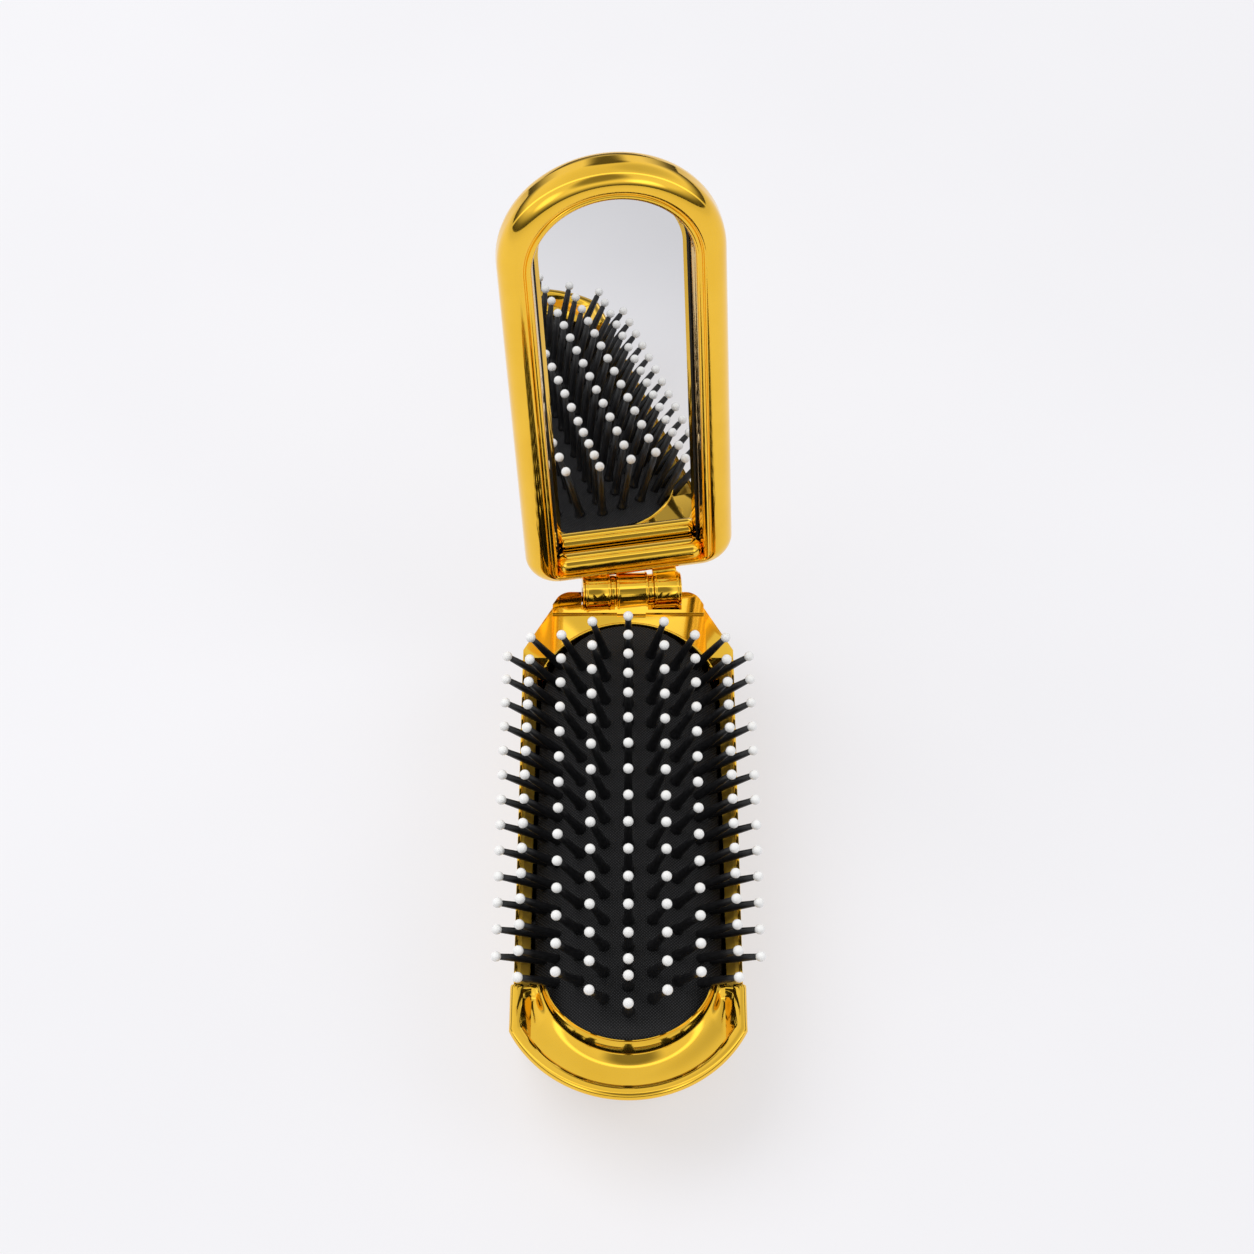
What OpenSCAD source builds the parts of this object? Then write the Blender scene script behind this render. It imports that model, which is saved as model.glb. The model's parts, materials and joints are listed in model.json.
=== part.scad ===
/* [Base] */
// Height of the shoulders above the table
rim_z = 25.5; // [25.3:0.1:27]
// Half width of the base frame
frame_half_w = 22.3; // [22.2:0.1:22.6]
// Half width of the lower shell
shell_half_w = 22; // [21.9:0.1:22.1]
// Y of the hinge end of the base
hinge_end_y = 59; // [58.6:0.1:59.2]
// Half width of the hinge end, between the long corner chamfers
hinge_end_half_w = 14.5; // [14:0.1:15]
// Length of each corner chamfer along Y
chamfer_len = 14.2; // [12:0.1:15]
// Wall thickness of the shell
wall = 1.3; // [1.1:0.1:1.3]
// Radius of the lower long edges
bottom_r = 4; // [3.8:0.1:4.2]

/* [Tail cap] */
// Half width of the sliding cap
cap_half_w = 23; // [22.8:0.1:23.2]
// Y of the straight front edge of the cap
cap_front_y = -34.8; // [-35:0.1:-34.7]
// Radius of the tail arc
tail_r = 25.7; // [25.5:0.1:26]
// Y of the tail arc's centre
tail_arc_y = -33.1; // [-33.4:0.1:-33]
// How far the cap pulls out
cap_travel = 10; // [8:0.5:10]

/* [Pad] */
// Radius of the pad's round ends, and its half width
pad_r = 18.5; // [18.4:0.1:18.6]
// Y of the centre of the pad's hinge end
pad_head_y = 31.7; // [31.5:0.1:31.9]
// Y of the centre of the pad's tail end
pad_tail_y = -28.6; // [-28.8:0.1:-28.4]
// Fall of the domed pad from its crown to its long edges
pad_fall = 4.6; // [4.2:0.1:4.8]
// Thickness of the rubber
pad_t = 1.4; // [1.2:0.1:1.5]
// How far the pad and its pins sink when the brush is shut
sink = 13.6; // [13.4:0.1:13.7]

/* [Pins] */
// Length of a pin from its root to the centre of its ball
pin_len = 12.5; // [12:0.1:12.6]
// Radius of a pin
pin_r = 0.7; // [0.5:0.02:0.7]
// Radius of a ball tip
ball_r = 1.04; // [1:0.02:1.1]
// Radius of the rod that carries one row of pins
rod_r = 0.95; // [0.8:0.05:1]
// Lean of the last pins towards the tail
tail_lean = 19; // [10:1:19]

/* [Lid] */
// Half width of the lid
lid_half_w = 22.25; // [22:0.05:22.4]
// Length of the lid from the hinge axis to its round end
lid_len = 109.8; // [109.4:0.1:110.2]
// Distance from the hinge axis to the lid's near wall
lid_near = 2.7; // [2.6:0.1:3]
// Radius of the lid's two corners at the hinge
lid_corner_r = 7.2; // [7.1:0.1:7.6]
// Thickness of the lid
lid_t = 9.3; // [9.2:0.1:9.6]
// Width of the rolled rim around the mirror
rim_w = 6.9; // [6.6:0.1:7]
// Depth from the rim to the face of the mirror
mirror_depth = 6; // [5.8:0.1:6]
// Angle between the open lid and the shut one
open_angle = 98.7; // [90:0.1:110]
// How far the lid sits to the right of the middle of the base
lid_side = 1.1; // [0.9:0.1:1.2]

/* [Hinge] */
// How far the knuckles sit to the right of the middle of the base
hinge_side = 0.7; // [0.5:0.1:0.8]
// Distance from the hinge axis to the base's hinge end
axis_out = 0.3; // [0.2:0.1:0.5]
// Outer radius of the knuckles
knuckle_r = 3.8; // [3.6:0.1:3.8]
// Radius of the hinge pin
pin_axle_r = 1; // [0.8:0.05:1.2]
// Skew of the loose hinge axis in the level plane
axis_skew = 0.08; // [0:0.01:0.09]
// Fall of the hinge axis from left to right
axis_fall = 0.05; // [0.04:0.001:0.05]

/* [Hidden] */

gold = [0.89, 0.68, 0.18];
black = [0.06, 0.06, 0.065];
eps = 0.01;
smooth = 96;
fine = 32;

// Base: shared heights and gaps
split_z = rim_z - 5.3;          // the frame sits on the shell here
face_z = rim_z - 0.7;           // flat crescent face at the hinge end
ridge_z = rim_z - 0.65;         // thin ridge along each long side
ledge_z = rim_z - 1.4;          // ledge inside the ridge
gap = 0.3;                      // clearance between moving pieces
shoulder_half_w = 16.2;
step_y = 53.3;                  // the hinge shoulders rise here
flare_head_y = 42;              // the side ledges end here
side_tail_y = cap_front_y + gap;
well_r = pad_r + 0.5;
pad_crown_z = rim_z - 0.2;
shoulder_y = hinge_end_y - chamfer_len;
ridge_x = frame_half_w - 0.45;  // inner face of the side ridges

// Tail
rake = 24.7;                    // lean of the tail's underside
rake_r = 27;
under_rim_z = rim_z - 1.4;      // the underside starts to draw in here
cap_wall = 1.4;
tail_inset = cap_wall + gap;    // the shell's tail lies this far inside the cap

// Hinge
axis_y = hinge_end_y + axis_out;
axis_z = rim_z;
axis_dir = [1, axis_skew, -axis_fall];
knuckle_gap = 1.3;
mid_knuckle = 3.4;              // half length of the base's knuckle
side_knuckle = 5.4;             // length of each lid knuckle
side_start = mid_knuckle + knuckle_gap;
side_end = side_start + side_knuckle;
bore_r = pin_axle_r + 0.06;
pocket_half_w = side_end + 0.6;
pocket_y = axis_y - knuckle_r - 1.3;

// Sliding parts under the pad
tray_z = 2.1;
tray_t = 0.8;
plate_in = 19.3;                // inner face of the cam plates
tray_back_y = -22.6;            // tail edge of the tray and its cam plates
plate_t = 1;
trunnion_r = 0.8;
trunnion_z = rim_z - 7.4;
carrier_t = 1.2;
carrier_r = pad_r - 1.3;
down_z = trunnion_z + carrier_t / 2 - sink;   // underside of the pad when it is down
cam_ys = [-18, 20];             // where the carrier's trunnions sit
slot_r = trunnion_r + 0.2;

// Columns of pins: side offset, root, fan at the two ends, first row, pitch, count
COLUMNS = [[0, 0, 0, 43.8, 0, 17],
           [4.8, 12.2, 12.8, 42.7, 5.77, 15],
           [9.7, 19.3, 20.6, 40.2, 5.7, 14],
           [14.2, 29.4, 36, 41.2, 5.34, 15],
           [16.5, 44.5, 49.5, 38.6, 5.54, 13]];
first_pin_y = 44.6;
last_pin_y = -40.9;

function sum_to(gaps, j, acc = 0, i = 0) = i >= j ? acc : sum_to(gaps, j, acc + gaps[i], i + 1);
// The middle column is closer at the hinge end and once near the tail
centre_gaps = [for (i = [0:15]) i < 4 ? 4.6 : i == 13 ? 5.3 : i == 14 ? 3.3 : i == 15 ? 5.5 : 5.8];
function row_y(k, j) = k == 0 ? COLUMNS[0][3] - sum_to(centre_gaps, j)
                              : COLUMNS[k][3] - j * COLUMNS[k][4];
function row_count(k) = COLUMNS[k][5];
function fan(k, j) = COLUMNS[k][1] + (COLUMNS[k][2] - COLUMNS[k][1]) * j / (row_count(k) - 1);
function lean(y) = tail_lean * pow(max(0, (first_pin_y - y) / (first_pin_y - last_pin_y)), 1.25);
function fall_at(x) = pad_fall * pow(abs(x) / pad_r, 2.5);
// How far a rod runs past its first pin: the outer ones stop short at the pad's edge
function rod_head(k) = k == 4 ? 0.35 : 0.8;
function root_z(k) = pad_crown_z - fall_at(COLUMNS[k][0]);

// ---------------------------------------------------------------- shared shapes

// Long round-bottomed channel along Y
module channel(half_w, r, y0, y1, z0, z1) {
  len = y1 - y0;
  translate([-half_w + r, y0, z0]) cube([2 * (half_w - r), len, z1 - z0]);
  translate([-half_w, y0, z0 + r]) cube([2 * half_w, len, z1 - z0 - r]);
  for (s = [-1, 1]) translate([s * (half_w - r), y0, z0 + r])
    rotate([-90, 0, 0]) cylinder(h = len, r = r, $fn = smooth);
}

// Tail end: the round outline, a raked cylinder that draws the underside in, and the channel
module tail_form(inset, y_front, z0, z1) {
  rake_y_r = rake_r / cos(rake);
  intersection() {
    translate([0, tail_arc_y, z0]) cylinder(h = z1 - z0, r = tail_r - inset, $fn = smooth);
    translate([0, tail_arc_y - tail_r + rake_y_r, under_rim_z]) rotate([rake, 0, 0])
      translate([0, 0, -60]) cylinder(h = 120, r = rake_r - inset, $fn = smooth);
    channel(cap_half_w - inset, bottom_r, tail_arc_y - tail_r - 1, y_front, z0, z1);
  }
}

// Plan of the base in front of the cap
function plan(inset) = [[-frame_half_w + inset, side_tail_y], [frame_half_w - inset, side_tail_y],
  [frame_half_w - inset, shoulder_y - inset * 0.25],
  [hinge_end_half_w - inset * 0.75, hinge_end_y - inset],
  [-hinge_end_half_w + inset * 0.75, hinge_end_y - inset],
  [-frame_half_w + inset, shoulder_y - inset * 0.25]];

module plan_block(inset, z0, z1) {
  translate([0, 0, z0]) linear_extrude(z1 - z0) polygon(plan(inset));
}

// Round-ended prism along the pad
module stadium(r, z0, z1, head = pad_head_y, tail = pad_tail_y) {
  translate([-r, tail, z0]) cube([2 * r, head - tail, z1 - z0]);
  for (y = [head, tail]) translate([0, y, z0]) cylinder(h = z1 - z0, r = r, $fn = smooth);
}

// Round thing along the hinge axis, from s0 to s1 on either side of the middle knuckle's centre
module on_axis(s0, s1, r) {
  translate([0, axis_y, axis_z])
    rotate([0, 0, atan(axis_skew)]) rotate([0, 90 + atan(axis_fall), 0])
      translate([0, 0, hinge_side + s0]) cylinder(h = s1 - s0, r = r, $fn = smooth);
}

// Turns a lid piece from the shut place to the open one
module opened() {
  translate([0, axis_y, axis_z]) rotate(a = -open_angle, v = axis_dir)
    translate([0, -axis_y, -axis_z]) children();
}

// ---------------------------------------------------------------- base

module shell_solid(inset) {
  intersection() {
    channel(shell_half_w - inset, bottom_r - inset, side_tail_y + inset, hinge_end_y, inset, split_z);
    plan_block(inset + 0.3, 0, split_z);
  }
  tail_form(tail_inset + inset, side_tail_y + 2, inset, split_z);
}

screw_pos = [15.4, 48.6];
screw_head_r = 1.7;
screw_r = 0.8;

module base_shell() {
  color(gold) difference() {
    shell_solid(0);
    translate([0, 0, eps]) shell_solid(wall);
    // slot for the tray's tongue
    translate([-5, -52, tray_z - 0.4]) cube([10, 20, tray_t + 0.9]);
    // room for the sunk pad at the tail
    stadium(pad_r + 0.3, down_z - 0.3, split_z + 1, pad_tail_y + 5);
    for (s = [-1, 1]) translate([s * screw_pos[0], screw_pos[1], -1]) {
      cylinder(h = wall + 2, r = screw_r + 0.05, $fn = fine);
      cylinder(h = 1.9, r = screw_head_r + 0.1, $fn = fine);
    }
  }
}

// Cross-section of the opening along the long sides: ledge and sloped wall
module side_flare(s) {
  intersection() {
    translate([0, flare_head_y + 2, 0]) rotate([90, 0, 0])
      linear_extrude(flare_head_y - side_tail_y + 3) polygon([[s * 17, split_z - 1],
        [s * 19.15, split_z - 1], [s * 19.4, rim_z - 4.6], [s * 21, rim_z - 1.9],
        [s * ridge_x, ledge_z], [s * ridge_x, rim_z + 1], [s * 17, rim_z + 1]]);
    // slanted facet at the hinge end
    translate([s * 19 - 6, 0, 0]) rotate([90, 0, 90]) linear_extrude(12)
      polygon([[flare_head_y + 1.1, rim_z + 1], [flare_head_y - 3, split_z - 1],
               [side_tail_y - 1, split_z - 1], [side_tail_y - 1, rim_z + 1]]);
  }
}

module base_frame() {
  color(gold) difference() {
    union() {
      plan_block(0, split_z, face_z - 0.9);
      plan_block(0.6, face_z - 0.95, face_z);
      // long side ridges
      for (s = [-1, 1]) translate([s > 0 ? ridge_x : -frame_half_w, side_tail_y, face_z - 1.2])
        cube([frame_half_w - ridge_x, shoulder_y - 3.2 - side_tail_y, ridge_z - face_z + 1.2]);
      // raised shoulders
      intersection() {
        plan_block(0.15, face_z - 0.5, rim_z);
        translate([-shoulder_half_w, step_y, 0]) cube([2 * shoulder_half_w, 10, 40]);
      }
      // deck under the cap
      tail_form(tail_inset, side_tail_y + 1, split_z, split_z + 1.1);
      // knuckle and its post
      translate([hinge_side - mid_knuckle + 0.3, 53, split_z])
        cube([2 * mid_knuckle - 0.6, 5.8, rim_z - split_z]);
      on_axis(-mid_knuckle, mid_knuckle, knuckle_r);
      // screw posts
      for (s = [-1, 1]) translate([s * screw_pos[0], screw_pos[1], wall + eps])
        cylinder(h = split_z - wall, r = 2.3, $fn = fine);
    }
    stadium(well_r, split_z - 1, rim_z + 1);
    side_flare(1);
    side_flare(-1);
    // pocket of each lid knuckle
    for (s = [-1, 1])
      translate([hinge_side + (s > 0 ? mid_knuckle + 0.2 : -pocket_half_w), pocket_y, split_z + 0.4])
        cube([pocket_half_w - mid_knuckle - 0.2, 9, 9]);
    on_axis(-8, 8, bore_r);
    for (s = [-1, 1]) translate([s * screw_pos[0], screw_pos[1], 0])
      cylinder(h = 9, r = screw_r, $fn = fine);
  }
}

module guide_rail(s) {
  color(black) translate([s * 15 - 0.6, -24, wall + eps]) cube([1.2, 58, 0.45]);
}
module guide_rail_left() { guide_rail(-1); }
module guide_rail_right() { guide_rail(1); }

// Leaf spring with a raised nose that clicks into the tray's front edge
module detent_spring() {
  color("silver") translate([-3, 0, 0]) rotate([90, 0, 90]) linear_extrude(6)
    polygon([[32.6, wall + eps], [44.6, wall + eps], [44.6, 1.7], [40.6, 1.8], [37.1, 2.9],
             [36.1, 3.1], [35, 2.7], [34.2, 1.75], [32.6, 1.7]]);
}

module case_screws() {
  color("silver") for (s = [-1, 1]) translate([s * screw_pos[0], screw_pos[1], 0.3]) difference() {
    union() {
      cylinder(h = 0.6, r = screw_head_r, $fn = fine);
      cylinder(h = 7, r = screw_r - 0.02, $fn = fine);
    }
    for (a = [0, 90]) rotate([0, 0, a]) translate([-1.1, -0.2, -1]) cube([2.2, 0.4, 1.3]);
  }
}

// ---------------------------------------------------------------- tail slide

crest_r = 21.3;
module tail_cap() {
  color(gold) difference() {
    tail_form(0, cap_front_y, 0.5, rim_z);
    // the cap is open below and towards the hinge
    tail_form(cap_wall, cap_front_y + 1, -1, rim_z - 3.2);
    // slot that holds the tray's tongue
    tongue();
    // edge at the pad, with a groove and a crest behind it
    translate([0, pad_tail_y, rim_z - 4]) cylinder(h = 6, r = well_r, $fn = smooth);
    translate([0, pad_tail_y, 0]) rotate_extrude($fn = smooth)
      polygon([[0, rim_z - 0.6], [well_r + 0.5, rim_z - 0.6], [well_r + 1, rim_z - 1.4],
               [crest_r - 0.8, rim_z - 1.5], [crest_r - 0.1, rim_z - 0.8], [crest_r, rim_z + 1],
               [0, rim_z + 1]]);
    // thumb panel, sloping down from the crest to the outer rim
    intersection() {
      translate([0, pad_tail_y, 0]) rotate_extrude($fn = smooth)
        polygon([[crest_r + 0.5, rim_z - 0.1], [crest_r + 0.5, rim_z + 1], [33, rim_z + 1],
                 [33, rim_z - 1.9]]);
      tail_form(2.2, cap_front_y - 2.4, 0, 40);
    }
    // small bevel all round the rim
    difference() {
      translate([-30, -70, rim_z - 0.8]) cube([60, 40, 2]);
      translate([0, tail_arc_y, 0]) rotate_extrude($fn = smooth)
        polygon([[0, 0], [tail_r, 0], [tail_r, rim_z - 0.8], [tail_r - 0.8, rim_z], [0, rim_z]]);
    }
    for (s = [-1, 1]) translate([s * cap_half_w, 0, rim_z]) rotate([0, 45, 0])
      translate([-0.55, -70, -0.55]) cube([1.1, 40, 1.1]);
    // slanted facet on the end of each horn
    translate([0, cap_front_y, rim_z]) rotate([45, 0, 0]) translate([-30, -1, -0.9]) cube([60, 4, 3]);
  }
}

module slide_tray() {
  color(black) {
    translate([-18.9, tray_back_y, tray_z]) cube([37.8, 34 - tray_back_y, tray_t]);
    tongue();
  }
}

module tongue() {
  translate([-4.5, -48.3, tray_z]) cube([9, 28.2, tray_t]);
}

// Upright plate with two slanted slots that lift the carrier
module cam_plate(s) {
  slant = atan2(sink, cap_travel);
  run = norm([sink, cap_travel]);
  color(black) difference() {
    union() {
      translate([s > 0 ? plate_in : -plate_in - plate_t, tray_back_y, tray_z + tray_t])
        cube([plate_t, 34 - tray_back_y, trunnion_z + trunnion_r + 1 - tray_z - tray_t]);
      translate([s > 0 ? 18.1 : -19.4, tray_back_y, tray_z + tray_t])
        cube([1.3, 34 - tray_back_y, 0.4]);
    }
    for (y = cam_ys) translate([-30, y, trunnion_z]) rotate([-slant, 0, 0]) {
      rotate([0, 90, 0]) cylinder(h = 60, r = slot_r, $fn = fine);
      translate([0, run, 0]) rotate([0, 90, 0]) cylinder(h = 60, r = slot_r, $fn = fine);
      translate([0, 0, -slot_r]) cube([60, run, 2 * slot_r]);
    }
  }
}
module cam_plate_left() { cam_plate(-1); }
module cam_plate_right() { cam_plate(1); }

// ---------------------------------------------------------------- carrier, pad and pins

module carrier_plate() {
  color(black) {
    difference() {
      stadium(carrier_r, trunnion_z - carrier_t / 2, trunnion_z + carrier_t / 2);
      // lightening holes
      for (y = [-30 : 20 : 30]) translate([0, y, 0]) cylinder(h = 40, r = 5, $fn = fine);
    }
    for (y = cam_ys) translate([-plate_in - plate_t - 0.2, y, trunnion_z]) rotate([0, 90, 0])
      cylinder(h = 2 * (plate_in + plate_t + 0.2), r = trunnion_r, $fn = fine);
  }
}

// Half-profile of the dome, from the crown to the edge
function dome(r, top) = [for (i = [0:16]) let(x = r * sin(90 * i / 16)) [x, top - fall_at(x)]];

module vault(r, top, floor_z) {
  pts = dome(r, top);
  left = [for (i = [16:-1:1]) [-pts[i][0], pts[i][1]]];
  intersection() {
    translate([0, 60, 0]) rotate([90, 0, 0]) linear_extrude(120)
      polygon(concat([[-r, floor_z]], left, pts, [[r, floor_z]]));
    stadium(r, 0, 60);
  }
}

module cushion_pad() {
  pad_floor = trunnion_z + carrier_t / 2;
  color(black) difference() {
    vault(pad_r, pad_crown_z, pad_floor);
    intersection() {
      vault(pad_r - 1.2, pad_crown_z - pad_t, pad_floor - 1);
      translate([-30, -50, pad_floor - 1]) cube([60, 100, 20]);
    }
    for (k = [0:4]) for (s = k == 0 ? [1] : [-1, 1])
      translate([s * COLUMNS[k][0], row_y(k, row_count(k) - 1) - 1.5, root_z(k)]) rotate([-90, 0, 0])
        cylinder(h = row_y(k, 0) - row_y(k, row_count(k) - 1) + 1.8 + rod_head(k), r = rod_r + 0.08,
                 $fn = fine);
  }
}

// Places a child at one pin's root, standing along the pin
module at_pin(k, s, j) {
  y = row_y(k, j);
  translate([s * COLUMNS[k][0], y, root_z(k)]) rotate([0, s * fan(k, j), 0]) rotate([lean(y), 0, 0])
    children();
}

// One row: a round rod, with its pins fused to it
module pins(k, s) {
  last = row_count(k) - 1;
  color(black) {
    translate([s * COLUMNS[k][0], row_y(k, last) - 1.1, root_z(k)]) rotate([-90, 0, 0])
      cylinder(h = row_y(k, 0) - row_y(k, last) + 1.1 + rod_head(k), r = rod_r, $fn = fine);
    for (j = [0:last]) at_pin(k, s, j) cylinder(h = pin_len - 0.75 * ball_r, r = pin_r, $fn = 6);
  }
}

module tips(k, s) {
  color("white") for (j = [0:row_count(k) - 1]) at_pin(k, s, j)
    translate([0, 0, pin_len]) difference() {
      sphere(r = ball_r, $fn = 6);
      translate([-2, -2, -3]) cube([4, 4, 3 - 0.75 * ball_r]);
    }
}

module pins_centre() { pins(0, 1); }
module tips_centre() { tips(0, 1); }
module pins_l1() { pins(1, -1); }
module tips_l1() { tips(1, -1); }
module pins_l2() { pins(2, -1); }
module tips_l2() { tips(2, -1); }
module pins_l3() { pins(3, -1); }
module tips_l3() { tips(3, -1); }
module pins_l4() { pins(4, -1); }
module tips_l4() { tips(4, -1); }
module pins_r1() { pins(1, 1); }
module tips_r1() { tips(1, 1); }
module pins_r2() { pins(2, 1); }
module tips_r2() { tips(2, 1); }
module pins_r3() { pins(3, 1); }
module tips_r3() { tips(3, 1); }
module pins_r4() { pins(4, 1); }
module tips_r4() { tips(4, 1); }

// ---------------------------------------------------------------- hinge pin and lid

module hinge_pin() {
  color("silver") on_axis(-side_end + 0.4, side_end - 0.4, pin_axle_r);
}

far_y = axis_y - lid_len + lid_half_w;   // centre of the round end
near_y = axis_y - lid_near;              // near wall of the shut lid
floor_w = rim_z + 0.3;                   // rim of the shut lid

// Sweeps a section, drawn as [-depth from the outer edge, height], round the lid's outline
module lid_sweep() {
  corner_x = lid_half_w - lid_corner_r;
  corner_y = near_y - lid_corner_r;
  translate([lid_side, 0, 0]) {
    translate([0, far_y, 0]) rotate([0, 0, 180]) rotate_extrude(angle = 180, $fn = smooth)
      translate([lid_half_w, 0]) children();
    for (s = [-1, 1]) translate([s * corner_x, corner_y, 0]) rotate([0, 0, s > 0 ? 0 : 90])
      rotate_extrude(angle = 90, $fn = smooth) translate([lid_corner_r, 0]) children();
    translate([lid_half_w, corner_y, 0]) rotate([90, 0, 0])
      linear_extrude(corner_y - far_y) children();
    translate([-lid_half_w, far_y, 0]) rotate([90, 0, 180])
      linear_extrude(corner_y - far_y) children();
    translate([-corner_x, near_y, 0]) rotate([90, 0, 90])
      linear_extrude(2 * corner_x) children();
  }
}

// Lid outline moved inwards, as a solid
module lid_plate(inset, z0, z1, near_inset = 0) {
  r = lid_half_w - inset;
  c = max(lid_corner_r - inset, 0.4);
  near = near_y - (near_inset > 0 ? near_inset : inset);
  h = z1 - z0;
  translate([lid_side, 0, 0]) {
    translate([0, far_y, z0]) cylinder(h = h, r = r, $fn = smooth);
    translate([-r, far_y, z0]) cube([2 * r, near - c - far_y, h]);
    translate([-r + c, far_y, z0]) cube([2 * (r - c), near - far_y, h]);
    for (s = [-1, 1]) translate([s * (r - c), near - c, z0]) cylinder(h = h, r = c, $fn = fine);
  }
}

roll_r = 3.4;
back_r = 3.5;
back_split = rim_z + lid_t - back_r;     // the back cover meets the frame here
mirror_z = rim_z + mirror_depth;
tape_z = mirror_z + 1.3;
back_z = rim_z + lid_t - 1.5;
near_w = 3.3;                            // the recess comes this close to the lid's hinge end
bar_r = 2.3;                             // round bar across the recess at the hinge end
bar_half = lid_half_w - rim_w - bar_r + 0.3;
bar_y = 4.6;                             // distance of the bar's centre from the lid's hinge end

function arc(cx, cz, r, a0, a1, n) = [for (i = [0:n]) let(a = a0 + (a1 - a0) * i / n)
  [cx + r * cos(a), cz + r * sin(a)]];

module lid_frame() {
  color(gold) opened() difference() {
    union() {
      lid_sweep() polygon(concat([[-rim_w + 0.05, tape_z], [-rim_w + 0.05, mirror_z - 0.6]],
        [[-rim_w + 0.7, floor_w + 1.0], [-rim_w + 1.1, floor_w + 0.35], [-rim_w + 1.6, floor_w + 0.2],
         [-rim_w + 2.1, floor_w + 0.45]],
        arc(-roll_r, floor_w + roll_r, roll_r, -105, 0, 7),
        [[0, back_split], [-2.7, back_split], [-2.7, tape_z]]));
      // lugs and knuckles
      for (s = [-1, 1]) {
        translate([hinge_side + 0.1 + (s > 0 ? side_start : -side_end), near_y - 1.5, axis_z + 0.35])
          cube([side_knuckle - 0.2, lid_near + 1.5, 3.2]);
        on_axis(s > 0 ? side_start : -side_end, s > 0 ? side_end : -side_start, knuckle_r);
      }
    }
    // the recess reaches further at the hinge end
    translate([lid_side - lid_half_w + rim_w - 0.05, near_y - rim_w - 2, floor_w - 1])
      cube([2 * (lid_half_w - rim_w + 0.05), rim_w + 2 - near_w, tape_z - floor_w + 2]);
    // room for the base's knuckle
    on_axis(-mid_knuckle - 0.6, mid_knuckle + 0.6, knuckle_r + 0.4);
    on_axis(-20, 20, bore_r);
  }
  color(gold) opened() {
    translate([lid_side, near_y - bar_y, floor_w + 2.6]) {
      translate([-bar_half, 0, 0]) rotate([0, 90, 0]) cylinder(h = 2 * bar_half, r = bar_r, $fn = smooth);
      for (s = [-1, 1]) translate([s * bar_half, 0, 0]) sphere(r = bar_r, $fn = smooth);
    }
  }
}

module lid_back() {
  inner_r = back_r - 1.5;
  color(gold) opened() {
    lid_sweep() polygon(concat(arc(-back_r, back_split, back_r, 0, 90, 7),
                               [[-back_r - 1, rim_z + lid_t], [-back_r - 1, back_z]],
                               arc(-back_r, back_split, inner_r, 90, 0, 7)));
    lid_plate(back_r + 0.5, back_z, rim_z + lid_t);
  }
}

module mirror_glass() {
  color([0.8, 0.82, 0.84]) opened() lid_plate(rim_w + 0.5, mirror_z, tape_z, near_w + 0.5);
}

module mirror_gasket() {
  color(black) opened() difference() {
    lid_plate(rim_w + 0.05, mirror_z + 0.25, tape_z, near_w + 0.05);
    lid_plate(rim_w + 0.5, mirror_z - 1, tape_z + 1, near_w + 0.5);
  }
}

module mirror_tape() {
  color("white") opened() lid_plate(rim_w + 3, tape_z, back_z, near_w + 3);
}

base_shell();
base_frame();
guide_rail_left();
guide_rail_right();
detent_spring();
case_screws();
tail_cap();
slide_tray();
cam_plate_left();
cam_plate_right();
carrier_plate();
cushion_pad();
pins_centre();
tips_centre();
pins_l1();
tips_l1();
pins_l2();
tips_l2();
pins_l3();
tips_l3();
pins_l4();
tips_l4();
pins_r1();
tips_r1();
pins_r2();
tips_r2();
pins_r3();
tips_r3();
pins_r4();
tips_r4();
hinge_pin();
lid_frame();
lid_back();
mirror_glass();
mirror_gasket();
mirror_tape();
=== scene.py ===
"""Folding hairbrush with mirror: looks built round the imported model, in metres."""

import json
import math

import bmesh
import bpy
from mathutils import Matrix, Vector

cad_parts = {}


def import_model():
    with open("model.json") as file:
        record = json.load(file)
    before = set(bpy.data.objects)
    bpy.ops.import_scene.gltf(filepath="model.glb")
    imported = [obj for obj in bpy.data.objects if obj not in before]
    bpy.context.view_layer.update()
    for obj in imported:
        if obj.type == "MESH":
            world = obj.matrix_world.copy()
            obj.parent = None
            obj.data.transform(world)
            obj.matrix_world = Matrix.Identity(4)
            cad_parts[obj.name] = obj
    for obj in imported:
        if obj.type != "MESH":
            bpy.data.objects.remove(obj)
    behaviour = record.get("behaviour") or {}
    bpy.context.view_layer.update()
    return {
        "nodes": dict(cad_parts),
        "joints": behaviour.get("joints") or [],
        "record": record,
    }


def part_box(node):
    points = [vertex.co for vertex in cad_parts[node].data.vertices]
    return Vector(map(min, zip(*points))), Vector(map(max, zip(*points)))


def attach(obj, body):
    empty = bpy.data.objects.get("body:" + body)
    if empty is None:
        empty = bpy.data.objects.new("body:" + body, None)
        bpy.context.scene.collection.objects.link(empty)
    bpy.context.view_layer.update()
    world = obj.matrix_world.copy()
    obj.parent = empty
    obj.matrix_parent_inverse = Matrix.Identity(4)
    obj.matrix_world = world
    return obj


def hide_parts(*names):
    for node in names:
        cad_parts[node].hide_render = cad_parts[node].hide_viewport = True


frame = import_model()

MM = 0.001

# ------------------------------------------------------------------ driving sizes
RIM_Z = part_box("tail_cap")[1].z                 # height of the case's rim
PAD_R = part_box("cushion_pad")[1].x              # half width of the pad
PAD_CROWN_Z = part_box("cushion_pad")[1].z
PAD_BOTTOM_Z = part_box("cushion_pad")[0].z
PAD_HEAD_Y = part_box("cushion_pad")[1].y - PAD_R
PAD_TAIL_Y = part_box("cushion_pad")[0].y + PAD_R
PAD_FALL = 4.6 * MM
PIN_LEN = 12.5 * MM
BALL_R = 1.04 * MM
TAIL_LEAN = math.radians(19)
FIRST_PIN_Y = 44.6 * MM
LAST_PIN_Y = -40.9 * MM

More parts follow.
